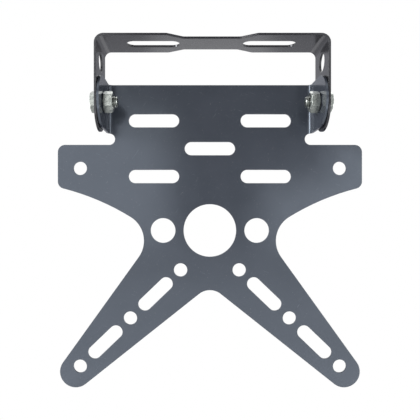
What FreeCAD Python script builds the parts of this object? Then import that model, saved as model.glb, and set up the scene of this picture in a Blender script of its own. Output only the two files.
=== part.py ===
"""A folding number plate bracket for a motorcycle tail.

Two folded steel sheets share one pivot line. The upper sheet is a U-shaped strap whose
crossbar bolts under the tail. The lower sheet is the plate carrier, which hangs between
the strap's ears on two bent lugs. A hex bolt and nut on each side clamp ear to lug, so
the carrier can be set at another angle when the nuts are slackened.

Frame: the origin is on the top face of the crossbar, midway between its two slots.
+X runs along the crossbar, +Z is up, and the lugs point towards -Y. Sizes are in mm.
"""
import FreeCAD
import Part
import Sketcher
import math
import os

DIMENSIONS = {
    # Both sheets
    "sheet_thickness": 1.2,
    "pivot_hole_dia": 7.5,
    # Plate carrier, lugs and folds
    "lug_outer_width": 115.8,
    "lug_height": 27.2,
    "pivot_reach": 16.5,
    "lug_bend_radius": 2.0,
    "relief_width": 6.4,
    "relief_depth": 1.3,
    # Plate carrier, outline, with drops measured down from the top edge
    "wing_width": 171.2,
    "wing_corner_radius": 4.1,
    "wing_side_run": 16.5,
    "wing_sweep_radius": 137.0,
    "waist_radius": 15.7,
    "waist_centre_spacing": 105.7,
    "waist_centre_drop": 87.6,
    "leg_tip_radius": 8.9,
    "leg_tip_spacing": 150.9,
    "leg_tip_drop": 161.2,
    "crotch_radius": 9.8,
    "crotch_drop": 115.4,
    # Plate carrier, slots and holes
    "slot_width": 7.5,
    "slot_length": 28.4,
    "slot_spacing": 63.0,
    "slot_first_drop": 20.0,
    "slot_row_pitch": 15.7,
    "plate_hole_dia": 7.5,
    "plate_hole_spacing": 146.0,
    "wing_hole_drop": 46.8,
    "foot_hole_drop": 158.2,
    "leg_first_spacing": 33.0,
    "leg_first_drop": 104.0,
    "leg_slot_length": 24.0,
    "centre_hole_dia": 29.6,
    "centre_hole_drop": 81.8,
    "side_hole_dia": 13.9,
    "side_hole_spacing": 52.7,
    # Tail strap
    "ear_clearance": 0.3,
    "strap_width": 25.0,
    "strap_bend_radius": 3.5,
    "crossbar_rise": 30.5,
    "crossbar_waist_width": 15.5,
    "crossbar_waist_length": 29.0,
    "crossbar_taper_length": 8.5,
    "crossbar_blend_radius": 2.5,
    "tail_slot_length": 28.0,
    "tail_slot_width": 8.5,
    "tail_slot_spacing": 61.0,
    "lamp_hole_dia": 9.5,
    "lamp_hole_rise": 20.8,
    "ear_drop": 15.5,
    # Pivot bolts and nuts
    "bolt_dia": 6.0,
    "bolt_length": 10.0,
    "bolt_tip_chamfer": 0.7,
    "hex_width": 10.0,
    "hex_face_dia": 9.2,
    "hex_chamfer_angle": 30.0,
    "head_height": 4.0,
    "nut_height": 5.0,
    "thread_clearance": 0.05,
    "nut_mouth_chamfer": 0.5,
    "nut_slack": 0.1,
}

# Places that follow from the driving dimensions, as expressions on the sheet
LUG_INNER = "(Sizes.lug_outer_width / 2 - Sizes.sheet_thickness)"
LUG_FOLD = "(Sizes.lug_outer_width / 2 - Sizes.sheet_thickness - Sizes.lug_bend_radius)"
LUG_OUTER_BEND = "Sizes.lug_bend_radius + Sizes.sheet_thickness"
RELIEF_MIDDLE = f"{LUG_FOLD} - Sizes.relief_depth + Sizes.relief_width"
RELIEF_DROP = "Sizes.lug_height + Sizes.relief_width / 2"
WING_DROP = "Sizes.lug_height + Sizes.relief_width"
WING_LOW_DROP = "Sizes.lug_height + Sizes.relief_width + Sizes.wing_corner_radius + Sizes.wing_side_run"
EAR_INNER = "(Sizes.lug_outer_width / 2 + Sizes.ear_clearance)"
EAR_OUTER = "(Sizes.lug_outer_width / 2 + Sizes.ear_clearance + Sizes.sheet_thickness)"
EAR_FOLD = "(Sizes.lug_outer_width / 2 + Sizes.ear_clearance - Sizes.strap_bend_radius)"
EAR_TOP = "(Sizes.sheet_thickness + Sizes.strap_bend_radius)"
STRAP_OUTER_BEND = "Sizes.strap_bend_radius + Sizes.sheet_thickness"
PIVOT_DROP = "(Sizes.sheet_thickness + Sizes.crossbar_rise)"
LEG_RUN = "(Sizes.plate_hole_spacing - Sizes.leg_first_spacing) / 2"
LEG_FALL = "(Sizes.foot_hole_drop - Sizes.leg_first_drop)"
LEG_STEP = f"sqrt(({LEG_RUN}) ^ 2 + {LEG_FALL} ^ 2) / 4"

START, END, CENTRE = 1, 2, 3
ORIGIN = (-1, 1)
UP = FreeCAD.Vector(0, 0, 1)


def make_sheet(doc):
    """Writes the driving dimensions into a spreadsheet with one alias for each."""
    sheet = doc.addObject("Spreadsheet::Sheet", "Sizes")
    for row, (alias, value) in enumerate(DIMENSIONS.items(), start=1):
        sheet.set(f"A{row}", alias)
        sheet.set(f"B{row}", str(value))
        sheet.setAlias(f"B{row}", alias)
    doc.recompute()


def make_body(doc, label):
    """Makes an empty body whose label names the sub-part."""
    body = doc.addObject("PartDesign::Body", label)
    body.Label = label
    return body


def origin_plane(body, role):
    """Finds one of the body's own origin planes by its role."""
    return next(item for item in body.Origin.OriginFeatures if item.Role == role)


def make_sketch(body, name, role, offset=None):
    """Attaches a sketch to an origin plane, moved along the plane's normal by an expression."""
    sketch = body.newObject("Sketcher::SketchObject", name)
    sketch.AttachmentSupport = [(origin_plane(body, role), "")]
    sketch.MapMode = "FlatFace"
    if offset:
        sketch.setExpression("AttachmentOffset.Base.z", offset)
    return sketch


def value_of(sketch, expression):
    """Works out an expression on the sheet."""
    return float(sketch.evalExpression(expression))


def bind(sketch, kind, *where, to):
    """Adds a dimension to the sketch and binds it to an expression."""
    index = sketch.addConstraint(Sketcher.Constraint(kind, *where, value_of(sketch, to)))
    sketch.setExpression(f"Constraints[{index}]", to)


def pin(sketch, point, across="0", along="0"):
    """Dimensions a point from the sketch's origin, across and along."""
    for kind, axis, expression in (("DistanceX", -2, across), ("DistanceY", -1, along)):
        if expression == "0":
            sketch.addConstraint(Sketcher.Constraint("PointOnObject", *point, axis))
        elif value_of(sketch, expression) > 0:
            bind(sketch, kind, *ORIGIN, *point, to=expression)
        else:
            bind(sketch, kind, *point, *ORIGIN, to=f"-({expression})")


def add_line(sketch, first, last):
    """Draws a straight line between two (x, y) places."""
    line = Part.LineSegment(FreeCAD.Vector(*first, 0), FreeCAD.Vector(*last, 0))
    return sketch.addGeometry(line, False)


def add_arc(sketch, centre, radius, first, last):
    """Draws an arc counter-clockwise between two angles in degrees."""
    circle = Part.Circle(FreeCAD.Vector(*centre, 0), UP, radius)
    arc = Part.ArcOfCircle(circle, math.radians(first), math.radians(last))
    return sketch.addGeometry(arc, False)


def add_circle(sketch, across, along, diameter):
    """Draws a dimensioned round hole."""
    place = FreeCAD.Vector(value_of(sketch, across), value_of(sketch, along), 0)
    circle = sketch.addGeometry(Part.Circle(place, UP, value_of(sketch, diameter) / 2), False)
    pin(sketch, (circle, CENTRE), across, along)
    bind(sketch, "Diameter", circle, to=diameter)


def join(sketch, first, last, kind="Coincident"):
    """Joins two ends of the sketch's geometry, square or tangent."""
    sketch.addConstraint(Sketcher.Constraint(kind, *first, *last))


def add_polygon(sketch, corners):
    """Draws a closed polygon with each corner dimensioned by two expressions."""
    places = [(value_of(sketch, across), value_of(sketch, along)) for across, along in corners]
    count = len(places)
    sides = [add_line(sketch, places[k], places[(k + 1) % count]) for k in range(count)]
    for k, (across, along) in enumerate(corners):
        join(sketch, (sides[k - 1], END), (sides[k], START))
        pin(sketch, (sides[k], START), across, along)


def add_slot(sketch, across, along, length, width):
    """Draws a dimensioned slot with round ends, its length along the sketch's X."""
    middle, level = value_of(sketch, across), value_of(sketch, along)
    radius = value_of(sketch, width) / 2
    reach = value_of(sketch, length) / 2 - radius
    right = add_arc(sketch, (middle + reach, level), radius, -90, 90)
    left = add_arc(sketch, (middle - reach, level), radius, 90, 270)
    top = add_line(sketch, (middle + reach, level + radius), (middle - reach, level + radius))
    bottom = add_line(sketch, (middle - reach, level - radius), (middle + reach, level - radius))
    join(sketch, (right, END), (top, START), "Tangent")
    join(sketch, (top, END), (left, START), "Tangent")
    join(sketch, (left, END), (bottom, START), "Tangent")
    join(sketch, (bottom, END), (right, START), "Tangent")
    pin(sketch, (right, CENTRE), f"{across} + ({length} - {width}) / 2", along)
    pin(sketch, (left, CENTRE), f"{across} - ({length} - {width}) / 2", along)
    bind(sketch, "Diameter", right, to=width)
    sketch.addConstraint(Sketcher.Constraint("Equal", right, left))


def add_quarter_ring(sketch, centre_x, centre_y, inner, outer, first):
    """Draws the section of a fold: a quarter ring that starts at an angle in degrees."""
    place = (value_of(sketch, centre_x), value_of(sketch, centre_y))
    radii = (value_of(sketch, inner), value_of(sketch, outer))
    small = add_arc(sketch, place, radii[0], first, first + 90)
    large = add_arc(sketch, place, radii[1], first, first + 90)
    ends = []
    for degrees, position in ((first, START), (first + 90, END)):
        ray = (math.cos(math.radians(degrees)), math.sin(math.radians(degrees)))
        points = [(place[0] + r * ray[0], place[1] + r * ray[1]) for r in radii]
        edge = add_line(sketch, *points)
        join(sketch, (small, position), (edge, START))
        join(sketch, (large, position), (edge, END))
        ends.append((edge, abs(ray[0]) > abs(ray[1])))
    for edge, level in ends:
        sketch.addConstraint(Sketcher.Constraint("Horizontal" if level else "Vertical", edge))
        sketch.addConstraint(Sketcher.Constraint("PointOnObject", small, CENTRE, edge))
    join(sketch, (small, CENTRE), (large, CENTRE))
    pin(sketch, (small, CENTRE), centre_x, centre_y)
    bind(sketch, "Radius", small, to=inner)
    bind(sketch, "Radius", large, to=outer)


def pad(body, name, sketch, length, reverse=False, both_ways=False):
    """Adds the sketch's area as a sheet or block of the given length."""
    feature = body.newObject("PartDesign::Pad", name)
    feature.Profile = sketch
    feature.setExpression("Length", length)
    feature.Reversed = reverse
    if both_ways:
        feature.SideType = "Symmetric"
    body.Document.recompute()
    return feature


def pocket(body, name, sketch, reverse=False):
    """Cuts the sketch's area right through, and makes sure that it cut something."""
    before = body.Shape.Volume
    feature = body.newObject("PartDesign::Pocket", name)
    feature.Profile = sketch
    feature.Type = "ThroughAll"
    feature.Reversed = reverse
    body.Document.recompute()
    if not body.Shape.Volume < before:
        raise RuntimeError(f"{name} cuts nothing")
    return feature


def mirror(body, name, features):
    """Repeats the features on the other side of the middle plane."""
    feature = body.newObject("PartDesign::Mirrored", name)
    feature.Originals = features
    feature.MirrorPlane = (origin_plane(body, "YZ_Plane"), [""])
    body.Tip = feature
    body.Document.recompute()
    return feature


def draw_carrier_outline(sketch):
    """Draws the right half of the flat sheet: top edge, wing, waist, leg and crotch.

    Each round is an arc that runs tangent into its neighbours, so the outline follows
    from the centres and radii alone. The angles only say where the drawing starts.
    Beside the fold, a ledge of stock is left above the wing for the relief to cut into.
    """
    def at(expression):
        return value_of(sketch, expression)

    fold, wing = at(LUG_FOLD), at("Sizes.wing_width / 2")
    ledge_end, ledge_level = at(RELIEF_MIDDLE), -at(RELIEF_DROP)
    wing_top, wing_low = -at(WING_DROP), -at(WING_LOW_DROP)
    corner = at("Sizes.wing_corner_radius")
    waist = (at("Sizes.waist_centre_spacing / 2"), -at("Sizes.waist_centre_drop"))
    tip = (at("Sizes.leg_tip_spacing / 2"), -at("Sizes.leg_tip_drop"))
    crotch = (0, -at("Sizes.crotch_drop + Sizes.crotch_radius"))
    waist_radius, tip_radius = at("Sizes.waist_radius"), at("Sizes.leg_tip_radius")
    sweep_radius, crotch_radius = at("Sizes.wing_sweep_radius"), at("Sizes.crotch_radius")
    sweep_turn = math.radians(121)
    sweep = (waist[0] - (sweep_radius - waist_radius) * math.cos(sweep_turn),
             waist[1] - (sweep_radius - waist_radius) * math.sin(sweep_turn))

    def on(centre, radius, degrees):
        return (centre[0] + radius * math.cos(math.radians(degrees)),
                centre[1] + radius * math.sin(math.radians(degrees)))

    top = add_line(sketch, (0, 0), (fold, 0))
    side = add_line(sketch, (fold, 0), (fold, ledge_level))
    ledge = add_line(sketch, (fold, ledge_level), (ledge_end, ledge_level))
    step = add_line(sketch, (ledge_end, ledge_level), (ledge_end, wing_top))
    wing_edge = add_line(sketch, (ledge_end, wing_top), (wing - corner, wing_top))
    upper = add_arc(sketch, (wing - corner, wing_top - corner), corner, 0, 90)
    end = add_line(sketch, (wing, wing_top - corner), (wing, wing_low))
    lower = add_arc(sketch, (wing - corner, wing_low), corner, -76, 0)
    swept = add_arc(sketch, sweep, sweep_radius, 104, 121)
    neck = add_arc(sketch, waist, waist_radius, 121, 215)
    outer_leg = add_line(sketch, on(waist, waist_radius, 215), on(tip, tip_radius, 35))
    foot = add_arc(sketch, tip, tip_radius, -129, 35)
    inner_leg = add_line(sketch, on(tip, tip_radius, -129), on(crotch, crotch_radius, 51))
    fork = add_arc(sketch, crotch, crotch_radius, 51, 90)
    middle = add_line(sketch, on(crotch, crotch_radius, 90), (0, 0))

    join(sketch, (top, START), ORIGIN)
    join(sketch, (top, END), (side, START))
    join(sketch, (side, END), (ledge, START))
    join(sketch, (ledge, END), (step, START))
    join(sketch, (step, END), (wing_edge, START))
    join(sketch, (wing_edge, END), (upper, END), "Tangent")
    join(sketch, (upper, START), (end, START), "Tangent")
    join(sketch, (end, END), (lower, END), "Tangent")
    join(sketch, (lower, START), (swept, START), "Tangent")
    join(sketch, (swept, END), (neck, START), "Tangent")
    join(sketch, (neck, END), (outer_leg, START), "Tangent")
    join(sketch, (outer_leg, END), (foot, END), "Tangent")
    join(sketch, (foot, START), (inner_leg, START), "Tangent")
    join(sketch, (inner_leg, END), (fork, START), "Tangent")
    join(sketch, (fork, END), (middle, START))
    join(sketch, (middle, END), ORIGIN)
    for edge in (top, ledge, wing_edge):
        sketch.addConstraint(Sketcher.Constraint("Horizontal", edge))
    for edge in (side, step, end, middle):
        sketch.addConstraint(Sketcher.Constraint("Vertical", edge))

    bind(sketch, "DistanceX", *ORIGIN, top, END, to=LUG_FOLD)
    bind(sketch, "DistanceX", *ORIGIN, end, START, to="Sizes.wing_width / 2")
    bind(sketch, "DistanceX", *ORIGIN, step, START, to=RELIEF_MIDDLE)
    bind(sketch, "DistanceY", side, END, *ORIGIN, to=RELIEF_DROP)
    bind(sketch, "DistanceY", step, END, *ORIGIN, to=WING_DROP)
    bind(sketch, "DistanceY", lower, CENTRE, *ORIGIN, to=WING_LOW_DROP)
    pin(sketch, (neck, CENTRE), "Sizes.waist_centre_spacing / 2", "-Sizes.waist_centre_drop")
    pin(sketch, (foot, CENTRE), "Sizes.leg_tip_spacing / 2", "-Sizes.leg_tip_drop")
    pin(sketch, (fork, CENTRE), "0", "-(Sizes.crotch_drop + Sizes.crotch_radius)")
    bind(sketch, "Radius", upper, to="Sizes.wing_corner_radius")
    bind(sketch, "Radius", lower, to="Sizes.wing_corner_radius")
    bind(sketch, "Radius", swept, to="Sizes.wing_sweep_radius")
    bind(sketch, "Radius", neck, to="Sizes.waist_radius")
    bind(sketch, "Radius", foot, to="Sizes.leg_tip_radius")
    bind(sketch, "Radius", fork, to="Sizes.crotch_radius")


def draw_tongue(sketch, root, centre, tip_radius):
    """Draws a straight tab with a round end: its root level, and the level of its end's centre.

    The tab runs along the sketch's X between the levels -2 * tip_radius and 0.
    """
    start, turn = value_of(sketch, root), value_of(sketch, centre)
    radius = value_of(sketch, tip_radius)
    top = add_line(sketch, (start, 0), (turn, 0))
    bottom = add_line(sketch, (turn, -2 * radius), (start, -2 * radius))
    base = add_line(sketch, (start, -2 * radius), (start, 0))
    nose = add_arc(sketch, (turn, -radius), radius, 90, 270)
    join(sketch, (top, END), (nose, START), "Tangent")
    join(sketch, (nose, END), (bottom, START), "Tangent")
    join(sketch, (bottom, END), (base, START))
    join(sketch, (base, END), (top, START))
    sketch.addConstraint(Sketcher.Constraint("Horizontal", bottom))
    sketch.addConstraint(Sketcher.Constraint("Vertical", base))
    pin(sketch, (top, START), root, "0")
    pin(sketch, (nose, CENTRE), centre, f"-({tip_radius})")


def make_carrier(doc):
    """The plate carrier: a flat sheet with wings and legs, and two lugs folded forward."""
    body = make_body(doc, "main_plate")
    outline = make_sketch(body, "carrier_outline", "XZ_Plane")
    draw_carrier_outline(outline)
    flat = pad(body, "carrier_flat", outline, "Sizes.sheet_thickness")

    fold_section = make_sketch(body, "lug_fold_section", "XY_Plane")
    add_quarter_ring(fold_section, LUG_FOLD, "-(Sizes.sheet_thickness + Sizes.lug_bend_radius)",
                     "Sizes.lug_bend_radius", LUG_OUTER_BEND, 0)
    fold = pad(body, "lug_fold", fold_section, RELIEF_DROP, reverse=True)

    lug_outline = make_sketch(body, "lug_outline", "YZ_Plane", LUG_INNER)
    draw_tongue(lug_outline, "-(Sizes.sheet_thickness + Sizes.lug_bend_radius)",
                "-(Sizes.sheet_thickness + Sizes.pivot_reach)", "Sizes.lug_height / 2")
    add_circle(lug_outline, "-(Sizes.sheet_thickness + Sizes.pivot_reach)", "-Sizes.lug_height / 2",
               "Sizes.pivot_hole_dia")
    lug = pad(body, "lug", lug_outline, "Sizes.sheet_thickness")

    relief_outline = make_sketch(body, "relief_outline", "XZ_Plane")
    add_slot(relief_outline, RELIEF_MIDDLE, f"-({RELIEF_DROP})", "Sizes.relief_width * 2",
             "Sizes.relief_width")
    relief = pocket(body, "relief", relief_outline, reverse=True)

    hole_outline = make_sketch(body, "hole_outline", "XZ_Plane")
    add_circle(hole_outline, "Sizes.plate_hole_spacing / 2", "-Sizes.wing_hole_drop",
               "Sizes.plate_hole_dia")
    add_circle(hole_outline, "Sizes.side_hole_spacing / 2", "-Sizes.centre_hole_drop",
               "Sizes.side_hole_dia")
    for row in ("Sizes.slot_first_drop", "(Sizes.slot_first_drop + 2 * Sizes.slot_row_pitch)"):
        add_slot(hole_outline, "Sizes.slot_spacing / 2", f"-{row}", "Sizes.slot_length",
                 "Sizes.slot_width")
    holes = pocket(body, "holes", hole_outline, reverse=True)

    leg_row = make_sketch(body, "leg_row", "XZ_Plane")
    leg_row.AttachmentOffset = FreeCAD.Placement(FreeCAD.Vector(), FreeCAD.Rotation(-UP, 45))
    leg_row.setExpression("AttachmentOffset.Base.x", "Sizes.leg_first_spacing / 2")
    leg_row.setExpression("AttachmentOffset.Base.y", "-Sizes.leg_first_drop")
    leg_row.setExpression("AttachmentOffset.Rotation.Angle", f"atan2({LEG_FALL}; {LEG_RUN})")
    for step in (0, 2, 4):
        add_circle(leg_row, f"{step} * {LEG_STEP}" if step else "0", "0", "Sizes.plate_hole_dia")
    for step in (1, 3):
        add_slot(leg_row, f"{step} * {LEG_STEP}", "0", "Sizes.leg_slot_length", "Sizes.slot_width")
    leg_holes = pocket(body, "leg_holes", leg_row, reverse=True)

    mirror(body, "carrier_halves", [flat, fold, lug, relief, holes, leg_holes])

    middle_outline = make_sketch(body, "middle_outline", "XZ_Plane")
    add_circle(middle_outline, "0", "-Sizes.centre_hole_drop", "Sizes.centre_hole_dia")
    add_slot(middle_outline, "0", "-(Sizes.slot_first_drop + Sizes.slot_row_pitch)", "Sizes.slot_length",
             "Sizes.slot_width")
    pocket(body, "middle_holes", middle_outline, reverse=True)

    body.setExpression("Placement.Base.y", "Sizes.pivot_reach + Sizes.sheet_thickness")
    body.setExpression("Placement.Base.z", f"Sizes.lug_height / 2 - {PIVOT_DROP}")
    return body


def upright_edges(shape, offset, half_width):
    """Names the short upright edges at a given distance along and across the crossbar."""
    names = []
    for number, edge in enumerate(shape.Edges, start=1):
        ends = [vertex.Point for vertex in edge.Vertexes]
        if len(ends) != 2 or abs(ends[0].z - ends[1].z) < 0.5 * edge.Length:
            continue
        if abs(abs(ends[0].x) - offset) < 1e-4 and abs(abs(ends[0].y) - half_width) < 1e-4:
            names.append(f"Edge{number}")
    return names


def make_strap(doc):
    """The tail strap: a crossbar with a waist and two slots, and an ear folded down at each end."""
    body = make_body(doc, "tail_bracket")
    waist_end = "Sizes.crossbar_waist_length / 2"
    taper_end = "(Sizes.crossbar_waist_length / 2 + Sizes.crossbar_taper_length)"
    half_waist, half_strap = "Sizes.crossbar_waist_width / 2", "Sizes.strap_width / 2"

    bar_outline = make_sketch(body, "crossbar_outline", "XY_Plane")
    near_edge = [("0", half_waist), (waist_end, half_waist),
                 (taper_end, half_strap), (EAR_FOLD, half_strap)]
    far_edge = [(across, f"-{along}") for across, along in reversed(near_edge)]
    add_polygon(bar_outline, near_edge + far_edge)
    bar = pad(body, "crossbar", bar_outline, "Sizes.sheet_thickness", reverse=True)

    slot_outline = make_sketch(body, "tail_slot_outline", "XY_Plane")
    add_slot(slot_outline, "Sizes.tail_slot_spacing / 2", "0", "Sizes.tail_slot_length",
             "Sizes.tail_slot_width")
    slot = pocket(body, "tail_slot", slot_outline)

    fold_section = make_sketch(body, "ear_fold_section", "XZ_Plane")
    add_quarter_ring(fold_section, EAR_FOLD, f"-{EAR_TOP}", "Sizes.strap_bend_radius",
                     STRAP_OUTER_BEND, 0)
    fold = pad(body, "ear_fold", fold_section, "Sizes.strap_width", both_ways=True)

    ear_outline = make_sketch(body, "ear_outline", "YZ_Plane", EAR_INNER)
    draw_ear(ear_outline)
    add_circle(ear_outline, "0", f"-{PIVOT_DROP}", "Sizes.pivot_hole_dia")
    add_circle(ear_outline, "0", f"Sizes.lamp_hole_rise - {PIVOT_DROP}", "Sizes.lamp_hole_dia")
    ear = pad(body, "ear", ear_outline, "Sizes.sheet_thickness")

    halves = mirror(body, "strap_halves", [bar, slot, fold, ear])

    blend = body.newObject("PartDesign::Fillet", "crossbar_blend")
    corners = upright_edges(halves.Shape, value_of(ear_outline, waist_end),
                            value_of(ear_outline, half_waist))
    shoulders = upright_edges(halves.Shape, value_of(ear_outline, taper_end),
                              value_of(ear_outline, half_strap))
    blend.Base = (halves, corners + shoulders)
    blend.setExpression("Radius", "Sizes.crossbar_blend_radius")
    body.Tip = blend
    doc.recompute()
    return body


def draw_ear(sketch):
    """Draws one ear: parallel edges down from the fold, closed by a half round."""
    radius = value_of(sketch, "Sizes.strap_width / 2")
    top = -value_of(sketch, EAR_TOP)
    turn = -value_of(sketch, f"{PIVOT_DROP} + Sizes.ear_drop - Sizes.strap_width / 2")
    head = add_line(sketch, (radius, top), (-radius, top))
    front = add_line(sketch, (-radius, top), (-radius, turn))
    nose = add_arc(sketch, (0, turn), radius, 180, 360)
    back = add_line(sketch, (radius, turn), (radius, top))
    join(sketch, (head, END), (front, START))
    join(sketch, (front, END), (nose, START), "Tangent")
    join(sketch, (nose, END), (back, START), "Tangent")
    join(sketch, (back, END), (head, START))
    sketch.addConstraint(Sketcher.Constraint("Horizontal", head))
    sketch.addConstraint(Sketcher.Constraint("Vertical", back))
    pin(sketch, (nose, CENTRE), "0", f"-({PIVOT_DROP} + Sizes.ear_drop - Sizes.strap_width / 2)")
    bind(sketch, "Radius", nose, to="Sizes.strap_width / 2")
    bind(sketch, "DistanceY", head, START, *ORIGIN, to=EAR_TOP)


def add_hexagon(sketch):
    """Draws a hexagon about the origin, with two sides across the sketch's X."""
    flat = "Sizes.hex_width / 2"
    corner = "Sizes.hex_width / 2 / cos(30)"
    half_side = f"{corner} / 2"
    add_polygon(sketch, [(half_side, flat), (f"-{half_side}", flat), (f"-{corner}", "0"),
                         (f"-{half_side}", f"-{flat}"), (half_side, f"-{flat}"), (corner, "0")])


def round_hex_corners(body, name, level, slope):
    """Turns off the hexagon's corners at a face, as a cone at the standard angle.

    The face lies at the given level, and slope is -1 for a face that looks up.
    """
    inner = "Sizes.hex_face_dia / 2"
    outer = "Sizes.hex_width"
    drop = "(Sizes.hex_width - Sizes.hex_face_dia / 2) * tan(Sizes.hex_chamfer_angle)"
    section = make_sketch(body, f"{name}_section", "XZ_Plane")
    deep = f"{level} {slope} {drop}"
    add_polygon(section, [(inner, level), (outer, level), (outer, deep)])
    before = body.Shape.Volume
    groove = body.newObject("PartDesign::Groove", name)
    groove.Profile = section
    groove.ReferenceAxis = (section, ["V_Axis"])
    groove.Angle = 360
    body.Document.recompute()
    if not body.Shape.Volume < before:
        raise RuntimeError(f"{name} cuts nothing")
    return groove


def edges_on_circle(shape, radius, level):
    """Names the round edges of a given radius at a given level."""
    names = []
    for number, edge in enumerate(shape.Edges, start=1):
        curve = edge.Curve
        if not isinstance(curve, Part.Circle):
            continue
        if abs(curve.Radius - radius) < 1e-4 and abs(curve.Center.z - level) < 1e-4:
            names.append(f"Edge{number}")
    return names


def chamfer(body, name, base, edges, size):
    """Breaks the named edges of the last feature."""
    feature = body.newObject("PartDesign::Chamfer", name)
    feature.Base = (base, edges)
    feature.setExpression("Size", size)
    body.Tip = feature
    body.Document.recompute()
    return feature


def make_bolt(doc, side, sign):
    """One pivot bolt: a hex head outside the ear, and a shank that points inwards."""
    body = make_body(doc, f"pivot_bolt_{side}")
    head_outline = make_sketch(body, "head_outline", "XY_Plane")
    add_hexagon(head_outline)
    pad(body, "head", head_outline, "Sizes.head_height")
    round_hex_corners(body, "head_crown", "Sizes.head_height", "-")
    shank_outline = make_sketch(body, "shank_outline", "XY_Plane")
    add_circle(shank_outline, "0", "0", "Sizes.bolt_dia")
    shank = pad(body, "shank", shank_outline, "Sizes.bolt_length", reverse=True)
    radius = value_of(shank_outline, "Sizes.bolt_dia / 2")
    length = value_of(shank_outline, "Sizes.bolt_length")
    tip = edges_on_circle(shank.Shape, radius, -length)
    chamfer(body, "shank_tip", shank, tip, "Sizes.bolt_tip_chamfer")
    place_on_pivot(body, sign, EAR_OUTER, 90)
    return body


def make_nut(doc, side, sign):
    """One pivot nut, seated on the inner face of the lug."""
    body = make_body(doc, f"pivot_nut_{side}")
    nut_outline = make_sketch(body, "nut_outline", "XY_Plane")
    add_hexagon(nut_outline)
    add_circle(nut_outline, "0", "0", "Sizes.bolt_dia + 2 * Sizes.thread_clearance")
    pad(body, "nut", nut_outline, "Sizes.nut_height")
    round_hex_corners(body, "outer_crown", "Sizes.nut_height", "-")
    seat = round_hex_corners(body, "seat_crown", "0", "+")
    bore = value_of(nut_outline, "Sizes.bolt_dia / 2 + Sizes.thread_clearance")
    top = value_of(nut_outline, "Sizes.nut_height")
    mouths = edges_on_circle(seat.Shape, bore, 0) + edges_on_circle(seat.Shape, bore, top)
    chamfer(body, "mouths", seat, mouths, "Sizes.nut_mouth_chamfer")
    place_on_pivot(body, sign, f"({LUG_INNER} - Sizes.nut_slack)", -90)
    return body


def place_on_pivot(body, sign, distance, turn):
    """Lays a fastener along the pivot line, on the right (+1) or the left (-1)."""
    rotation = FreeCAD.Rotation(FreeCAD.Vector(0, 1, 0), sign * turn)
    body.Placement = FreeCAD.Placement(FreeCAD.Vector(), rotation)
    body.setExpression("Placement.Base.x", f"{sign} * {distance}")
    body.setExpression("Placement.Base.z", f"-{PIVOT_DROP}")


def check(doc, bodies):
    """Stops the build when a feature failed or a sub-part is not one sound solid."""
    for item in doc.Objects:
        if "Invalid" in item.State or "Error" in item.State:
            raise RuntimeError(f"{item.Label} failed")
    for body in bodies:
        shape = body.Shape
        if shape.isNull() or not shape.isValid() or len(shape.Solids) != 1:
            raise RuntimeError(f"{body.Label} is not one sound solid")


def main():
    """Builds the bracket and writes one file for each sub-part."""
    doc = FreeCAD.newDocument("plate_bracket")
    make_sheet(doc)
    bodies = [make_strap(doc), make_carrier(doc)]
    for side, sign in (("left", -1), ("right", 1)):
        bodies.append(make_bolt(doc, side, sign))
        bodies.append(make_nut(doc, side, sign))
    doc.recompute()
    check(doc, bodies)
    os.makedirs("parts", exist_ok=True)
    for body in bodies:
        body.Shape.exportStep(f"parts/{body.Label}.step")
        box = body.Shape.BoundBox
        print(f"{body.Label}: {body.Shape.Volume:.1f} mm3, x {box.XMin:.2f} {box.XMax:.2f}, "
              f"y {box.YMin:.2f} {box.YMax:.2f}, z {box.ZMin:.2f} {box.ZMax:.2f}")


main()
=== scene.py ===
"""Dresses a folding number plate bracket for a motorcycle tail.

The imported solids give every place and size. The two folded sheets are refined with the
rounded, paint-filled edges of real sheet metal. The pivot bolts and nuts are rebuilt with
rolled threads, turned crowns and dished heads. A small studio with soft panels lights them.
All lengths are in metres, and the frame is the one that the solids use.
"""
import logging
import math
from dataclasses import dataclass, field
from enum import Enum
from typing import Callable, List, Optional, Sequence, Tuple

import bmesh
import bpy
from mathutils import Matrix, Vector

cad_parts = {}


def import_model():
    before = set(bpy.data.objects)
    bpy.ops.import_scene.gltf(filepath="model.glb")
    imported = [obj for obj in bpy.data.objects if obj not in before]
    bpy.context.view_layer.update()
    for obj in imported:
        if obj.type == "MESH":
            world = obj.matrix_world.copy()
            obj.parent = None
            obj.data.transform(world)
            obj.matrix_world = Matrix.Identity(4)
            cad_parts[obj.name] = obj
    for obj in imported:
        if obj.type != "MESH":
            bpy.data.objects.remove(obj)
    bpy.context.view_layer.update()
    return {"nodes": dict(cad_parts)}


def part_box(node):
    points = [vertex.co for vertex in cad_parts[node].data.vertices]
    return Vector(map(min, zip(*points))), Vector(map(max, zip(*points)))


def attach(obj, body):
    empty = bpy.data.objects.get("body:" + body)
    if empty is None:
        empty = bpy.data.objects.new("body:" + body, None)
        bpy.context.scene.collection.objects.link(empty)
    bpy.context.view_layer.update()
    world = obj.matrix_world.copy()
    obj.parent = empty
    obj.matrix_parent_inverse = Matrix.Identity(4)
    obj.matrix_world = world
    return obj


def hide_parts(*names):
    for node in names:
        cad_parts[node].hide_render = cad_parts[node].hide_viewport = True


LOG = logging.getLogger("plate_bracket")
MM = 0.001
QUARTER_TURN = math.pi / 2
HEX_SIDES = 6

# The mesh layer that marks rounded cut edges and thread roots, where the fasteners get their painted
# shade
EDGE_MARK = "edge"

# The power that gives a square metre of panel a brightness of one
PANEL_POWER = 4.0

Colour = Tuple[float, float, float]
Point = Tuple[float, float, float]
Range = Tuple[float, float]
Ring = Callable[[float], Tuple[float, float]]
Socket = bpy.types.NodeSocket

FULL: Range = (0.0, 1.0)
WHITE: Colour = (1.0, 1.0, 1.0)


class Slot(Enum):
    """The finishes that the record names."""

    STRAP_PAINT = "strap_paint"
    CARRIER_PAINT = "carrier_paint"
    ZINC = "zinc"


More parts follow.
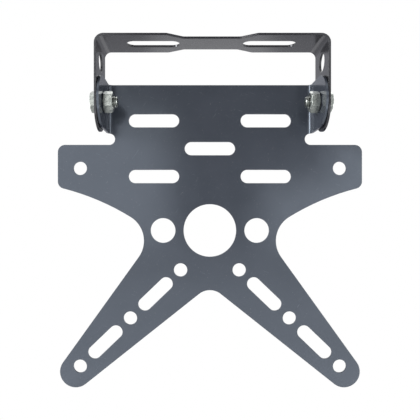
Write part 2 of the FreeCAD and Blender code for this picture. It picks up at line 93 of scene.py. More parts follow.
class Body(Enum):
    """The bodies that pieces ride on."""

    STRAP = "strap"
    CARRIER = "carrier"


class Side(Enum):
    """The two ends of the pivot line, with the sign of X there."""

    LEFT = -1
    RIGHT = 1


@dataclass(frozen=True)
class Mottle:
    """A noise pattern: features per metre, finer octaves, and the strength of those."""

    scale: float
    detail: float
    roughness: float = 0.5


class NodeBench:
    """Adds and joins the nodes of one material or world."""

    def __init__(self, tree: bpy.types.NodeTree) -> None:
        """Takes the tree of a material or a world, and empties it."""
        self.tree = tree
        self.tree.nodes.clear()

    def add(self, kind: str, **settings: object) -> bpy.types.Node:
        """Adds one node and sets its own options.

        Args:
            kind: The node's type name without the ShaderNode prefix.
            settings: Options of the node itself, not its sockets.

        Returns:
            The new node.
        """
        node = self.tree.nodes.new("ShaderNode" + kind)
        for name, value in settings.items():
            setattr(node, name, value)
        return node

    def join(self, source: Socket, target: Socket) -> None:
        """Joins an output to an input."""
        self.tree.links.new(source, target)

    def noise(self, place: Socket, mottle: Mottle) -> Socket:
        """Adds a noise texture.

        Args:
            place: The coordinates that it reads.
            mottle: How fine and how rough it is.

        Returns:
            The noise value, near one half on average.
        """
        node = self.add("TexNoise")
        node.inputs["Scale"].default_value = mottle.scale
        node.inputs["Detail"].default_value = mottle.detail
        node.inputs["Roughness"].default_value = mottle.roughness
        self.join(place, node.inputs["Vector"])
        return node.outputs["Fac"]

    def turn(self, place: Socket, lean: float, mark: Point) -> Socket:
        """Turns coordinates about Y and stretches them over the size of one mark.

        Args:
            place: The coordinates.
            lean: The angle about Y, in radians.
            mark: The size of a mark along each turned axis, in metres.

        Returns:
            The new coordinates, in marks.
        """
        node = self.add("Mapping", vector_type="TEXTURE")
        node.inputs["Rotation"].default_value = (0.0, lean, 0.0)
        node.inputs["Scale"].default_value = mark
        self.join(place, node.inputs["Vector"])
        return node.outputs["Vector"]

    def stretch(self, value: Socket, span: Range, onto: Range) -> Socket:
        """Maps one range of a value to another, with the ends clamped.

        Args:
            value: The value to map.
            span: The range that is mapped.
            onto: The range that it becomes.

        Returns:
            The mapped value.
        """
        node = self.add("MapRange", clamp=True)
        for name, number in zip(("From Min", "From Max", "To Min", "To Max"), (*span, *onto)):
            node.inputs[name].default_value = number
        self.join(value, node.inputs["Value"])
        return node.outputs["Result"]

    def reckon(self, operation: str, first: Socket, second: Socket) -> Socket:
        """Works out one value from two.

        Args:
            operation: The name of the Math node's operation.
            first: The first value.
            second: The second value.

        Returns:
            The result.
        """
        node = self.add("Math", operation=operation)
        self.join(first, node.inputs[0])
        self.join(second, node.inputs[1])
        return node.outputs[0]

    def times(self, first: Socket, second: Socket) -> Socket:
        """Multiplies two values."""
        return self.reckon("MULTIPLY", first, second)

    def larger(self, first: Socket, second: Socket) -> Socket:
        """Gives the larger of two values."""
        return self.reckon("MAXIMUM", first, second)

    def seen_rays(self) -> Socket:
        """Tells the rays that show the background from those that carry soft light.

        Returns:
            1 for rays that are seen straight, in a reflection or through a clear piece, else 0.
        """
        rays = self.add("LightPath").outputs
        shown = self.larger(rays["Is Camera Ray"], rays["Is Glossy Ray"])
        return self.larger(shown, rays["Is Transmission Ray"])

    def blend(self, share: Socket, first: Socket, second: Colour) -> Socket:
        """Blends a colour towards a fixed one.

        Args:
            share: How much of the second colour shows, from 0 to 1.
            first: The colour under it.
            second: The colour over it.

        Returns:
            The blended colour.
        """
        node = self.add("Mix", data_type="RGBA")
        node.inputs["B"].default_value = (*second, 1.0)
        self.join(share, node.inputs["Factor"])
        self.join(first, node.inputs["A"])
        return node.outputs["Result"]

    def two_tone(self, share: Socket, first: Colour, second: Colour) -> Socket:
        """Blends two fixed colours.

        Args:
            share: How much of the second colour shows, from 0 to 1.
            first: The colour at 0.
            second: The colour at 1.

        Returns:
            The blended colour.
        """
        node = self.add("Mix", data_type="RGBA")
        node.inputs["A"].default_value = (*first, 1.0)
        node.inputs["B"].default_value = (*second, 1.0)
        self.join(share, node.inputs["Factor"])
        return node.outputs["Result"]

    def bump(self, height: Socket, depth: float, strength: float,
             under: Optional[Socket] = None) -> Socket:
        """Turns a height into a bumped normal.

        Args:
            height: The height, from 0 to 1.
            depth: How deep the full height is, in metres.
            strength: How strongly it shows, from 0 to 1.
            under: A normal that is bumped already, if there is one.

        Returns:
            The bumped normal.
        """
        node = self.add("Bump")
        node.inputs["Distance"].default_value = depth
        node.inputs["Strength"].default_value = strength
        self.join(height, node.inputs["Height"])
        if under is not None:
            self.join(under, node.inputs["Normal"])
        return node.outputs["Normal"]

    def layer(self, share: Socket, under: Socket, over: Socket) -> Socket:
        """Mixes two shaders.

        Args:
            share: How much of the second shader shows, from 0 to 1.
            under: The shader at 0.
            over: The shader at 1.

        Returns:
            The mixed shader.
        """
        node = self.add("MixShader")
        self.join(share, node.inputs["Fac"])
        self.join(under, node.inputs[1])
        self.join(over, node.inputs[2])
        return node.outputs["Shader"]

    def surface(self, shader: Socket) -> None:
        """Makes a shader the surface of the material."""
        self.join(shader, self.add("OutputMaterial").inputs["Surface"])


def start_material(name: str) -> Tuple[bpy.types.Material, NodeBench]:
    """Makes an empty material.

    Args:
        name: The material's name.

    Returns:
        The material and the bench for its nodes.
    """
    material = bpy.data.materials.new(name)
    material.use_nodes = True
    return material, NodeBench(material.node_tree)


def make_object(name: str, work: bmesh.types.BMesh) -> bpy.types.Object:
    """Turns finished faces into an object of the scene.

    Args:
        name: The name of the object and of its mesh.
        work: The faces, which are freed.

    Returns:
        The object.
    """
    mesh = bpy.data.meshes.new(name)
    work.to_mesh(mesh)
    work.free()
    piece = bpy.data.objects.new(name, mesh)
    bpy.context.scene.collection.objects.link(piece)
    return piece


@dataclass(frozen=True)
class SatinPaint:
    """Satin black paint on sheet steel: orange peel, hairline scuffs and a thin film on the edges."""

    name: str
    film: Colour
    cloud: Colour
    edge: Colour
    dust: Colour
    glint: Colour
    shine: float
    smooth: float
    dull: float
    refraction: float = 1.5
    clouds: Mottle = Mottle(38.0, 4.0)
    cloud_range: Range = (0.34, 0.66)
    rubs: Mottle = Mottle(170.0, 3.0, 0.62)
    rub_range: Range = (0.42, 0.72)
    rub_share: Range = (0.15, 1.0)
    specks: Mottle = Mottle(1900.0, 0.0)
    speck_range: Range = (0.80, 0.88)
    speck_share: Range = (0.0, 0.4)
    scuffs: Mottle = Mottle(1.0, 0.0)
    scuff_size: Point = (6.0 * MM, 1.2 * MM, 0.35 * MM)
    scuff_leans: Tuple[float, float] = (0.35, -0.95)
    scuff_range: Range = (0.77, 0.85)
    scuff_share: Range = (0.0, 0.4)
    scuff_dull: Range = (0.0, 0.28)
    gloss: Mottle = Mottle(90.0, 5.0, 0.6)
    gloss_range: Range = (0.3, 0.7)
    peel: Mottle = Mottle(620.0, 1.0)
    peel_depth: float = 0.008 * MM
    grain: Mottle = Mottle(2600.0, 2.0)
    grain_depth: float = 0.002 * MM
    relief: float = 0.3

    def hairlines(self, bench: NodeBench, place: Socket, lean: float) -> Socket:
        """Makes sparse hairline scuffs that lean one way, 1 on a line and 0 off it."""
        along = bench.turn(place, lean, self.scuff_size)
        return bench.stretch(bench.noise(along, self.scuffs), self.scuff_range, FULL)

    def colour(self, bench: NodeBench, place: Socket, scuffs: Socket) -> Socket:
        """Lays clouds, worn edges, dust and scuffs over the film.

        Args:
            bench: The nodes of the paint.
            place: The coordinates on the sheet.
            scuffs: The hairline scuffs, 1 on a line and 0 off it.

        Returns:
            The colour of the paint.
        """
        clouds = bench.stretch(bench.noise(place, self.clouds), self.cloud_range, FULL)
        colour = bench.two_tone(clouds, self.film, self.cloud)
        edge = bench.add("Attribute", attribute_name=EDGE_MARK).outputs["Fac"]
        rubbed = bench.stretch(bench.noise(place, self.rubs), self.rub_range, self.rub_share)
        colour = bench.blend(bench.times(edge, rubbed), colour, self.edge)
        specks = bench.stretch(bench.noise(place, self.specks), self.speck_range, self.speck_share)
        colour = bench.blend(specks, colour, self.dust)
        return bench.blend(bench.stretch(scuffs, FULL, self.scuff_share), colour, self.edge)

    def material(self) -> bpy.types.Material:
        """Makes the paint.

        Returns:
            The material, with colour, gloss and relief from its nodes.
        """
        paint, bench = start_material(self.name)
        place = bench.add("TexCoord").outputs["Object"]
        scuffs = bench.larger(*(self.hairlines(bench, place, lean) for lean in self.scuff_leans))
        shader = bench.add("BsdfPrincipled")
        shader.inputs["IOR"].default_value = self.refraction
        shader.inputs["Specular IOR Level"].default_value = self.shine
        shader.inputs["Specular Tint"].default_value = (*self.glint, 1.0)
        bench.join(self.colour(bench, place, scuffs), shader.inputs["Base Color"])
        gloss = bench.stretch(bench.noise(place, self.gloss), self.gloss_range, (self.smooth, self.dull))
        gloss = bench.larger(gloss, bench.stretch(scuffs, FULL, self.scuff_dull))
        bench.join(gloss, shader.inputs["Roughness"])
        relief = bench.bump(bench.noise(place, self.peel), self.peel_depth, self.relief)
        relief = bench.bump(bench.noise(place, self.grain), self.grain_depth, self.relief, relief)
        bench.join(relief, shader.inputs["Normal"])
        bench.surface(shader.outputs["BSDF"])
        return paint


@dataclass(frozen=True)
class BrightZinc:
    """Zinc plate on a steel fastener: cool grey, a little cloudy, with turned faces and painted shade in
    the thread roots.
    """

    name: str
    bright: Colour
    dim: Colour
    # The colour of the painted shade in the thread roots
    shade: Colour
    smooth: float
    dull: float
    clouds: Mottle = Mottle(520.0, 4.0, 0.6)
    cloud_range: Range = (0.36, 0.64)
    gloss_range: Range = (0.3, 0.7)
    pits: Mottle = Mottle(3200.0, 2.0)
    root_shade_range: Range = (0.3, 0.7)
    root_shade_share: Range = (0.35, 0.85)
    pit_depth: float = 0.01 * MM
    ring_scale: float = 900.0
    ring_waver: float = 1.5
    ring_detail: float = 2.0
    ring_depth: float = 0.012 * MM
    relief: float = 0.4

    def turned_rings(self, bench: NodeBench, place: Socket) -> Socket:
        """Makes the fine rings that turning leaves round the axis.

        Args:
            bench: The nodes of the plating.
            place: The coordinates on the fastener.

        Returns:
            The height of the rings, from 0 to 1.
        """
        rings = bench.add("TexWave", wave_type="RINGS", rings_direction="Z", wave_profile="SIN")
        rings.inputs["Scale"].default_value = self.ring_scale
        rings.inputs["Distortion"].default_value = self.ring_waver
        rings.inputs["Detail"].default_value = self.ring_detail
        bench.join(place, rings.inputs["Vector"])
        return rings.outputs["Fac"]

    def material(self) -> bpy.types.Material:
        """Makes the plating.

        Returns:
            The material, with colour, gloss and relief from its nodes.
        """
        plate, bench = start_material(self.name)
        place = bench.add("TexCoord").outputs["Object"]
        clouds = bench.noise(place, self.clouds)
        pits = bench.noise(place, self.pits)
        colour = bench.two_tone(bench.stretch(clouds, self.cloud_range, FULL), self.bright, self.dim)
        # Painted shade: the thread roots are darkened towards the shade colour, broken up by the pit
        # noise
        root = bench.add("Attribute", attribute_name=EDGE_MARK).outputs["Fac"]
        root_shade_mask = bench.times(root, bench.stretch(pits, self.root_shade_range, self.root_shade_share))
        shader = bench.add("BsdfPrincipled")
        shader.inputs["Metallic"].default_value = 1.0
        bench.join(bench.blend(root_shade_mask, colour, self.shade), shader.inputs["Base Color"])
        gloss = bench.stretch(clouds, self.gloss_range, (self.smooth, self.dull))
        bench.join(gloss, shader.inputs["Roughness"])
        relief = bench.bump(self.turned_rings(bench, place), self.ring_depth, self.relief)
        relief = bench.bump(pits, self.pit_depth, self.relief, relief)
        bench.join(relief, shader.inputs["Normal"])
        bench.surface(shader.outputs["BSDF"])
        return plate


@dataclass
class FoldedSheet:
    """A sheet that is cut, folded and painted, refined from its solid."""

    node: str
    piece: str
    body: Body
    slot: Slot
    paint: SatinPaint
    edge_radius: float = 0.15 * MM
    edge_steps: int = 3
    edge_profile: float = 0.5
    sharp_from: float = math.radians(35.0)
    flat_below: float = math.radians(0.1)
    weld: float = 0.001 * MM
    area_weight: int = 100

    def build(self, solid: bpy.types.Object) -> bpy.types.Object:
        """Copies the solid's mesh and rounds its cut edges.

        Args:
            solid: The solid that the sheet stands for.

        Returns:
            The refined sheet.
        """
        work = bmesh.new()
        work.from_mesh(solid.data)
        bmesh.ops.remove_doubles(work, verts=work.verts, dist=self.weld)
        bmesh.ops.dissolve_limit(work, angle_limit=self.flat_below, verts=work.verts, edges=work.edges)
        folds = [edge for edge in work.edges if edge.is_manifold]
        cut = [edge for edge in folds if edge.calc_face_angle(0.0) > self.sharp_from]
        mark = work.faces.layers.float.new(EDGE_MARK)
        made = bmesh.ops.bevel(work, geom=cut, offset=self.edge_radius, offset_type="OFFSET",
                               segments=self.edge_steps, profile=self.edge_profile, affect="EDGES",
                               clamp_overlap=True)
        for face in made["faces"]:
            face[mark] = 1.0
        for face in work.faces:
            face.smooth = True
        sheet = make_object(self.piece, work)
        attributes = sheet.data.attributes
        if "custom_normal" in attributes:
            attributes.remove(attributes["custom_normal"])
        even = sheet.modifiers.new("even_normals", "WEIGHTED_NORMAL")
        even.mode = "FACE_AREA"
        even.weight = self.area_weight
        even.keep_sharp = False
        return sheet

    def dress(self, sheet: bpy.types.Object) -> None:
        """Paints the sheet and puts it on its body.

        Args:
            sheet: The refined sheet.
        """
        sheet.data.materials.clear()
        sheet.data.materials.append(self.paint.material())
        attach(sheet, self.body.value)
        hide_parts(self.node)


@dataclass
class ScrewThread:
    """A rolled metric thread along a fastener's own Z axis, with its crest and flank in pitches."""

    diameter: float = 6.0 * MM
    pitch: float = 1.0 * MM
    depth: float = 0.58 * MM
    half_crest: float = 0.07
    flank: float = 0.31

    def radius(self, angle: float, level: float) -> float:
        """Gives the thread's radius at one place.

        Args:
            angle: The angle round the axis, in radians.
            level: The height along the axis.

        Returns:
            The radius there, between root and crest.
        """
        turn = (level / self.pitch - angle / math.tau) % 1.0
        from_crest = abs(turn - 0.5)
        fall = min(max((from_crest - self.half_crest) / self.flank, 0.0), 1.0)
        return self.diameter / 2 - self.depth * fall

    def root_share(self, angle: float, level: float) -> float:
        """Says how near a place is to the thread's root, from 0 to 1."""
        return (self.diameter / 2 - self.radius(angle, level)) / self.depth


@dataclass
class Hexagon:
    """A hexagon with barely rounded corners and crowned faces, as on a forged head or a nut."""

    width: float = 10.0 * MM
    face_diameter: float = 9.2 * MM
    crown_angle: float = math.radians(30.0)
    corner: float = 0.22 * MM
    face_rim: float = 0.12 * MM
    face_fall: float = 0.03 * MM
    crown_blend: float = 0.1 * MM
    blend_rise: float = 0.05 * MM
    blend_fall: float = 0.07 * MM
    corner_steps: Tuple[float, ...] = (0.6, 1.2, 2.4)
    side_step: int = 6

    def angles(self) -> List[float]:
        """Lists the angles of the columns, close together at the corners.

        Returns:
            The angles round the axis, in radians, with a corner at zero.
        """
        span = 360 // HEX_SIDES
        after = [0.0, *self.corner_steps]
        before = [span - step for step in reversed(self.corner_steps)]
        side = [*after, *range(self.side_step, span, self.side_step), *before]
        return [math.radians(span * turn + step) for turn in range(HEX_SIDES) for step in side]

    def radius(self, angle: float) -> float:
        """Gives the distance from the axis to the side at an angle.

        Args:
            angle: The angle round the axis, with a corner at zero.

        Returns:
            The distance to the side or to the rounded corner.
        """
        half_side = math.pi / HEX_SIDES
        away = (angle + half_side) % (2 * half_side) - half_side
        inner = (self.width / 2 - self.corner) / math.cos(half_side)
        rounded = math.atan2(self.corner / 2, inner + self.corner * math.cos(half_side))
        if abs(away) < rounded:
            reach = self.corner ** 2 - (inner * math.sin(away)) ** 2
            return inner * math.cos(away) + math.sqrt(max(reach, 0.0))
        return self.width / 2 / math.cos(half_side - abs(away))

    def crown_drop(self, angle: float) -> float:
        """Gives how far the turned crown falls from the face to the side at an angle."""
        return (self.radius(angle) - self.face_diameter / 2) * math.tan(self.crown_angle)

    def side_ring(self, inset: float, level: float) -> Ring:
        """Makes a ring along the sides, set in from them, at one height."""
        return lambda angle: (self.radius(angle) - inset, level)

    def crown(self, level: float, into: int) -> List[Ring]:
        """Lists the rings from a face over its turned crown to the sides.

        Args:
            level: The height of the face.
            into: The way from the face into the metal, 1 for up and -1 for down.

        Returns:
            The rings, from the face's rim outwards.
        """
        face = self.face_diameter / 2
        return [
            round_ring(face - self.face_rim, level),
            round_ring(face, level + into * self.face_fall),
            lambda angle: (self.radius(angle) - self.crown_blend,
                           level + into * (self.crown_drop(angle) - self.blend_rise)),
            lambda angle: (self.radius(angle), level + into * (self.crown_drop(angle) + self.blend_fall)),
        ]


def round_ring(radius: float, level: float) -> Ring:
    """Makes a round ring at one height."""
    return lambda angle: (radius, level)


@dataclass
class PivotFastener:
    """What the pivot bolt and the pivot nut share: a place on the pivot line and a finish."""

    side: Side
    zinc: BrightZinc
    hexagon: Hexagon = field(default_factory=Hexagon)
    thread: ScrewThread = field(default_factory=ScrewThread)
    head: float = 4.0 * MM
    rows_per_turn: int = 12
    thread_skin: float = 0.02 * MM
    crease_from: float = math.radians(24.0)

    def name(self) -> str:
        """Gives the name of the solid that this piece stands for."""
        raise NotImplementedError

    def rings(self) -> List[Ring]:
        """Lists the rings of the surface, each with a radius and a level at every angle."""
        raise NotImplementedError

    def seat(self) -> float:
        """Gives the X of the ear's outer face, where the bolt head sits."""
        low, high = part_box(f"pivot_bolt_{self.side.name.lower()}")
        return high.x - self.head if self.side is Side.RIGHT else low.x + self.head

    def build(self) -> bpy.types.Object:
        """Builds the fastener's surface and lays it along the pivot line.

        Returns:
            The fastener, in its place.
        """
        angles = self.hexagon.angles()
        count = len(angles)
        work = bmesh.new()
        mark = work.verts.layers.float.new(EDGE_MARK)
        rows = []
        for ring in self.rings():
            row = []
            for angle in angles:
                radius, level = ring(angle)
                vert = work.verts.new((radius * math.cos(angle), radius * math.sin(angle), level))
                threaded = radius < self.thread.diameter / 2 + self.thread_skin
                vert[mark] = self.thread.root_share(angle, level) if threaded else 0.0
                row.append(vert)
            rows.append(row)
        for first, second in zip(rows, rows[1:] + self.closing(rows)):
            for here in range(count):
                after = (here + 1) % count
                work.faces.new((first[here], second[here], second[after], first[after]))
        self.cap(work, rows)
        bmesh.ops.recalc_face_normals(work, faces=work.faces)
        for face in work.faces:
            face.smooth = True
        piece = make_object(self.name() + "_detail", work)
        piece.data.set_sharp_from_angle(angle=self.crease_from)
        low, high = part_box(self.name())
        middle = (low + high) / 2
        turn = Matrix.Rotation(QUARTER_TURN * self.side.value, 4, "Y")
        piece.matrix_world = Matrix.Translation((self.seat(), middle.y, middle.z)) @ turn
        return piece

    def closing(self, rows: List[list]) -> List[list]:
        """Lists the ring that the last ring joins on to, if the surface closes on itself."""
        return []

    def cap(self, work: bmesh.types.BMesh, rows: List[list]) -> None:
        """Closes the first and last rings, if they are open ends."""

    def dress(self, piece: bpy.types.Object) -> None:
        """Plates the fastener and puts it on the strap.

        Args:
            piece: The fastener.
        """
        piece.data.materials.append(self.zinc.material())
        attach(piece, Body.STRAP.value)
        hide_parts(self.name())


@dataclass
class PivotBolt(PivotFastener):
    """A hex bolt, head outside the ear, with a dished head and a rolled thread.

    The dish is a row of radii, each with the share of the depth there. The seat is a row of
    insets from the hexagon's sides, each with its height.
    """

    length: float = 10.0 * MM
    dish_depth: float = 0.3 * MM
    dish: Sequence[Range] = (
        (0.6 * MM, 1.0),
        (2.7 * MM, 1.0),
        (3.1 * MM, 0.8),
        (3.5 * MM, 0.2),
        (3.8 * MM, 0.0),
    )
    seat_edge: Sequence[Range] = (
        (0.0, 0.18 * MM),
        (0.16 * MM, 0.02 * MM),
        (0.3 * MM, 0.0),
    )
    neck_margin: float = 0.1 * MM
    neck_plain: float = 0.3 * MM
    neck_fade: float = 0.9 * MM
    tip_chamfer: float = 0.7 * MM
    tip_face: float = 1.2 * MM

    def name(self) -> str:
        """Gives the name of the solid that this piece stands for."""
        return f"pivot_bolt_{self.side.name.lower()}"

    def rings(self) -> List[Ring]:
        """Lists the rings from the middle of the head's face to the middle of the tip.

        Returns:
            The rings, over the crown and the seat and down the shank.
        """
        rings = [round_ring(radius, self.head - share * self.dish_depth) for radius, share in self.dish]
        rings += self.hexagon.crown(self.head, -1)
        rings += [self.hexagon.side_ring(inset, level) for inset, level in self.seat_edge]
        rings.append(round_ring(self.thread.diameter / 2 + self.neck_margin, 0.0))
        count = round(self.length / self.thread.pitch * self.rows_per_turn)
        rings += [self.shank_ring(-self.length * row / count) for row in range(count + 1)]
        rings.append(round_ring(self.tip_face, -self.length))
        return rings

    def shank_ring(self, level: float) -> Ring:
        """Makes one ring of the shank.

        Args:
            level: The ring's height, from 0 under the head down to the tip.

        Returns:
            The ring, with the thread faded out under the head and turned off at the tip.
        """
        def ring(angle: float) -> Tuple[float, float]:
            """Gives the radius and the level at an angle.

            Args:
                angle: The angle round the axis, in radians.

            Returns:
                The radius and the level.
            """
            full = self.thread.diameter / 2
            fade = min(max((-level - self.neck_plain) / self.neck_fade, 0.0), 1.0)
            radius = full - (full - self.thread.radius(angle, level)) * fade
            tip = full - self.tip_chamfer + (level + self.length)
            return min(radius, tip), level
        return ring

    def cap(self, work: bmesh.types.BMesh, rows: List[list]) -> None:
        """Closes the head's face and the tip."""
        work.faces.new(rows[0])
        work.faces.new(rows[-1])


@dataclass
class PivotNut(PivotFastener):
    """A hex nut on the inside of the lug, crowned on both faces, with a cut thread."""

    height: float = 5.0 * MM
    mouth: float = 0.5 * MM
    clearance: float = 0.05 * MM

    def name(self) -> str:
        """Gives the name of the solid that this piece stands for."""
        return f"pivot_nut_{self.side.name.lower()}"

    def ends(self) -> Tuple[float, float]:
        """Gives the levels of the nut's two faces, from the bolt's seat.

        Returns:
            The level of the inner face and that of the face on the lug.
        """
        sign = self.side.value
        levels = sorted(sign * (corner.x - self.seat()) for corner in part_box(self.name()))
        return levels[0], levels[1]

    def mouth_radius(self) -> float:
        """Gives the radius of the bore's chamfered mouths."""
        return self.thread.diameter / 2 + self.clearance + self.mouth

    def rings(self) -> List[Ring]:
        """Lists the rings from the bore's inner mouth over the outside and back through the bore.

        Returns:
            The rings, of which the last one joins on to the first.
        """
        inner, outer = self.ends()
        rings = [round_ring(self.mouth_radius(), inner)]
        rings += self.hexagon.crown(inner, 1)
        rings += reversed(self.hexagon.crown(outer, -1))
        rings.append(round_ring(self.mouth_radius(), outer))
        count = round(self.height / self.thread.pitch * self.rows_per_turn)
        for row in range(1, count):
            rings.append(self.bore_ring(outer + (inner - outer) * row / count, inner, outer))
        return rings

    def bore_ring(self, level: float, inner: float, outer: float) -> Ring:
        """Makes one ring of the threaded bore.

        Args:
            level: The ring's height.
            inner: The height of the nut's inner face.
            outer: The height of the face on the lug.

        Returns:
            The ring, opened out by the chamfers at both mouths.
        """
        def ring(angle: float) -> Tuple[float, float]:
            """Gives the radius and the level at an angle."""
            mouth = self.mouth_radius() - min(level - inner, outer - level)
            return max(self.thread.radius(angle, level) + self.clearance, mouth), level
        return ring

    def closing(self, rows: List[list]) -> List[list]:
        """Joins the bore's last ring to the first one."""
        return [rows[0]]


@dataclass(frozen=True)
class SoftPanel:
    """A soft studio panel that faces a point, or faces square along Y where none is given."""

    name: str
    place: Point
    width: float
    height: float
    glow: float
    aim: Optional[Point] = None

    def hang(self) -> bpy.types.Object:
        """Hangs the panel.

        Returns:
            The lamp.
        """
        lamp = bpy.data.lights.new(self.name, "AREA")
        lamp.shape = "RECTANGLE"
        lamp.size = self.width
        lamp.size_y = self.height
        lamp.energy = PANEL_POWER * self.width * self.height * self.glow
        panel = bpy.data.objects.new(self.name, lamp)
        ahead = (self.place[0], 0.0, self.place[2])
        towards = Vector(self.aim or ahead) - Vector(self.place)
        turn = towards.to_track_quat("-Z", "Y").to_matrix().to_4x4()
        panel.matrix_world = Matrix.Translation(self.place) @ turn
        panel.visible_camera = False
        bpy.context.scene.collection.objects.link(panel)
        return panel


@dataclass(frozen=True)
class GreyCard:
    """A matt card outside the picture, which only reflections show."""

    name: str
    place: Point
    width: float
    height: float
    tone: Colour

    def stand(self) -> bpy.types.Object:
        """Stands the card upright, square to the Y axis.

        Returns:
            The card.
        """
        work = bmesh.new()
        bmesh.ops.create_grid(work, x_segments=1, y_segments=1, size=0.5)
        bmesh.ops.scale(work, vec=(self.width, self.height, 1.0), verts=work.verts)
        bmesh.ops.rotate(work, matrix=Matrix.Rotation(QUARTER_TURN, 3, "X"), verts=work.verts)
        card = make_object(self.name, work)
        card.location = self.place
        matt, bench = start_material(self.name)
        shade = bench.add("Emission")
        shade.inputs["Color"].default_value = (*self.tone, 1.0)
        bench.surface(shade.outputs["Emission"])
        card.data.materials.append(matt)
        card.visible_camera = False
        card.visible_diffuse = False
        card.visible_shadow = False
        return card


@dataclass
class Studio:
    """The pale floor, the white surround, the soft panels, the grey cards and the camera."""

    floor_level: float = -0.34
    floor_radius: float = 0.40
    floor_sides: int = 96
    floor_fade: Range = (0.08, 0.30)
    floor_grain: Mottle = Mottle(60.0, 3.0)
    floor_dim: Colour = (0.90, 0.90, 0.90)
    floor_pale: Colour = (0.93, 0.93, 0.93)
    floor_dull: float = 0.9
    ambient: float = 0.30
    ambient_tint: Colour = (0.97, 0.985, 1.0)
    camera_place: Point = (-0.0112, -0.2435, -0.0912)
    camera_lens: float = 39.6
    camera_sensor: float = 36.0
    camera_shift: Tuple[float, float] = (0.0476, 0.0120)
    camera_near: float = 0.01
    panels: Sequence[SoftPanel] = (
        SoftPanel("panel_left", (-0.35, -0.60, -0.02), 0.60, 0.26, 1.68),
        SoftPanel("panel_right", (0.475, -0.60, -0.05), 0.45, 0.20, 2.2),
        SoftPanel("panel_inner", (0.1875, -0.60, -0.09), 0.125, 0.12, 2.0),
        SoftPanel("panel_middle", (0.025, -0.60, -0.265), 1.35, 0.23, 0.74),
        SoftPanel("panel_low", (0.025, -0.60, -0.555), 1.35, 0.35, 1.65),
        SoftPanel("panel_ear_left", (-0.21, -0.60, 0.23), 0.12, 0.20, 2.3),
        SoftPanel("panel_ear_right", (0.28, -0.60, 0.235), 0.10, 0.17, 2.6),
        SoftPanel("panel_side", (-0.70, -0.33, 0.15), 0.30, 0.36, 14.0, aim=(0.056, 0.015, -0.031)),
        SoftPanel("panel_far", (0.75, -0.20, 0.05), 0.36, 0.36, 4.0, aim=(-0.057, 0.0, -0.03)),
        SoftPanel("panel_back", (0.10, 0.60, 0.55), 0.6, 0.4, 1.6, aim=(0.0, 0.0, -0.1)),
        SoftPanel("panel_back_left", (-0.75, 0.60, 0.0), 0.5, 0.6, 2.4, aim=(0.0, 0.0, -0.1)),
        SoftPanel("panel_back_right", (0.75, 0.60, 0.0), 0.5, 0.6, 2.4, aim=(0.0, 0.0, -0.1)),
        SoftPanel("panel_waist", (0.028, 0.60, -0.222), 0.22, 0.30, 0.40),
    )
    cards: Sequence[GreyCard] = (
        GreyCard("card_front", (0.0, -0.80, 0.30), 2.0, 1.1, (0.22, 0.22, 0.22)),
        GreyCard("card_back", (0.0, 0.95, 0.0), 2.0, 1.2, (0.555, 0.56, 0.605)),
        GreyCard("card_right", (0.285, 0.90, 0.325), 0.63, 0.55, (0.35, 0.355, 0.385)),
    )

    def light(self) -> None:
        """Hangs the panels, stands the cards and sets the white surround."""
        for panel in self.panels:
            panel.hang()
        for card in self.cards:
            card.stand()
        world = bpy.data.worlds.new("surround")
        world.use_nodes = True
        bpy.context.scene.world = world
        bench = NodeBench(world.node_tree)
        soft = bench.add("Background")
        soft.inputs["Color"].default_value = (*self.ambient_tint, 1.0)
        soft.inputs["Strength"].default_value = self.ambient
        white = bench.add("Background")
        white.inputs["Color"].default_value = (*WHITE, 1.0)
        white.inputs["Strength"].default_value = 1.0
        both = bench.layer(bench.seen_rays(), soft.outputs["Background"], white.outputs["Background"])
        bench.join(both, bench.add("OutputWorld").inputs["Surface"])

    def lay_floor(self) -> bpy.types.Object:
        """Lays a pale round floor that fades into the surround.

        Returns:
            The floor.
        """
        work = bmesh.new()
        bmesh.ops.create_circle(work, cap_ends=True, cap_tris=True, segments=self.floor_sides,
                                radius=self.floor_radius)
        floor = make_object("floor", work)
        floor.location = (0.0, 0.0, self.floor_level)
        floor.data.materials.append(self.floor_finish())
        return floor

    def floor_finish(self) -> bpy.types.Material:
        """Makes the floor's pale matt finish.

        Returns:
            The material, clear from below and white far out.
        """
        finish, bench = start_material("pale_floor")
        place = bench.add("TexCoord").outputs["Object"]
        matt = bench.add("BsdfPrincipled")
        matt.inputs["Roughness"].default_value = self.floor_dull
        grain = bench.two_tone(bench.noise(place, self.floor_grain), self.floor_dim, self.floor_pale)
        bench.join(grain, matt.inputs["Base Color"])
        white = bench.add("Emission")
        white.inputs["Color"].default_value = (*WHITE, 1.0)
        white.inputs["Strength"].default_value = 1.0
        reach = bench.add("VectorMath", operation="LENGTH")
        bench.join(place, reach.inputs[0])
        far = bench.stretch(reach.outputs["Value"], self.floor_fade, FULL)
        share = bench.times(far, bench.seen_rays())
        top = bench.layer(share, matt.outputs["BSDF"], white.outputs["Emission"])
        below = bench.add("NewGeometry").outputs["Backfacing"]
        clear = bench.add("BsdfTransparent").outputs["BSDF"]
        bench.surface(bench.layer(below, top, clear))
        return finish

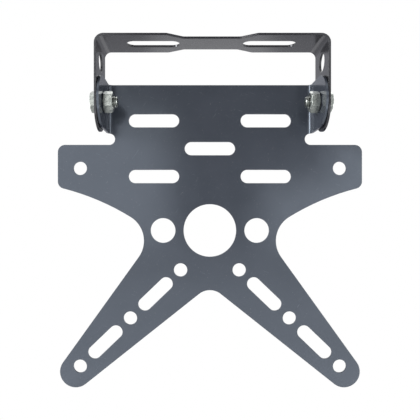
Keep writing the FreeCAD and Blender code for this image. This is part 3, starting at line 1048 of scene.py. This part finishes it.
    def aim_camera(self) -> bpy.types.Object:
        """Sets the camera level, straight at the carrier's face.

        Returns:
            The scene's camera.
        """
        lens = bpy.data.cameras.new("camera")
        lens.sensor_width = self.camera_sensor
        lens.lens = self.camera_lens
        lens.shift_x, lens.shift_y = self.camera_shift
        lens.clip_start = self.camera_near
        camera = bpy.data.objects.new("camera", lens)
        camera.location = self.camera_place
        camera.rotation_euler = (QUARTER_TURN, 0.0, 0.0)
        bpy.context.scene.collection.objects.link(camera)
        bpy.context.scene.camera = camera
        return camera


CARRIER_BLACK = SatinPaint("satin_black_carrier", film=(0.036, 0.041, 0.052), cloud=(0.041, 0.046, 0.058),
                           edge=(0.060, 0.066, 0.078), dust=(0.20, 0.20, 0.20), glint=(0.75, 0.86, 1.0),
                           shine=0.6, smooth=0.16, dull=0.22)
STRAP_BLACK = SatinPaint("satin_black_strap", film=(0.013, 0.013, 0.016), cloud=(0.017, 0.017, 0.020),
                         edge=(0.022, 0.022, 0.026), dust=(0.18, 0.18, 0.18), glint=(0.94, 0.96, 1.0),
                         shine=0.45, smooth=0.18, dull=0.25)
# The zinc's shade colour is painted shade for the thread roots
ZINC = BrightZinc("bright_zinc", bright=(0.38, 0.40, 0.38), dim=(0.26, 0.28, 0.265),
                  shade=(0.08, 0.085, 0.08), smooth=0.22, dull=0.36)


def report(piece: bpy.types.Object) -> None:
    """Logs a finished piece with the number of its faces."""
    LOG.info("%s: %d faces", piece.name, len(piece.data.polygons))


def main() -> None:
    """Loads the frame, builds each sub-assembly, and sets up the studio."""
    logging.basicConfig(level=logging.INFO, format="%(name)s: %(message)s")
    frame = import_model()
    bpy.context.scene.view_settings.view_transform = "Standard"
    sheets = (
        FoldedSheet("main_plate", "carrier_sheet", Body.CARRIER, Slot.CARRIER_PAINT, CARRIER_BLACK),
        FoldedSheet("tail_bracket", "strap_sheet", Body.STRAP, Slot.STRAP_PAINT, STRAP_BLACK),
    )
    for sheet in sheets:
        piece = sheet.build(frame["nodes"][sheet.node])
        sheet.dress(piece)
        report(piece)
    for side in Side:
        for fastener in (PivotBolt(side, ZINC), PivotNut(side, ZINC)):
            piece = fastener.build()
            fastener.dress(piece)
            report(piece)
    studio = Studio()
    studio.light()
    studio.lay_floor()
    studio.aim_camera()


if __name__ == "__main__":
    main()
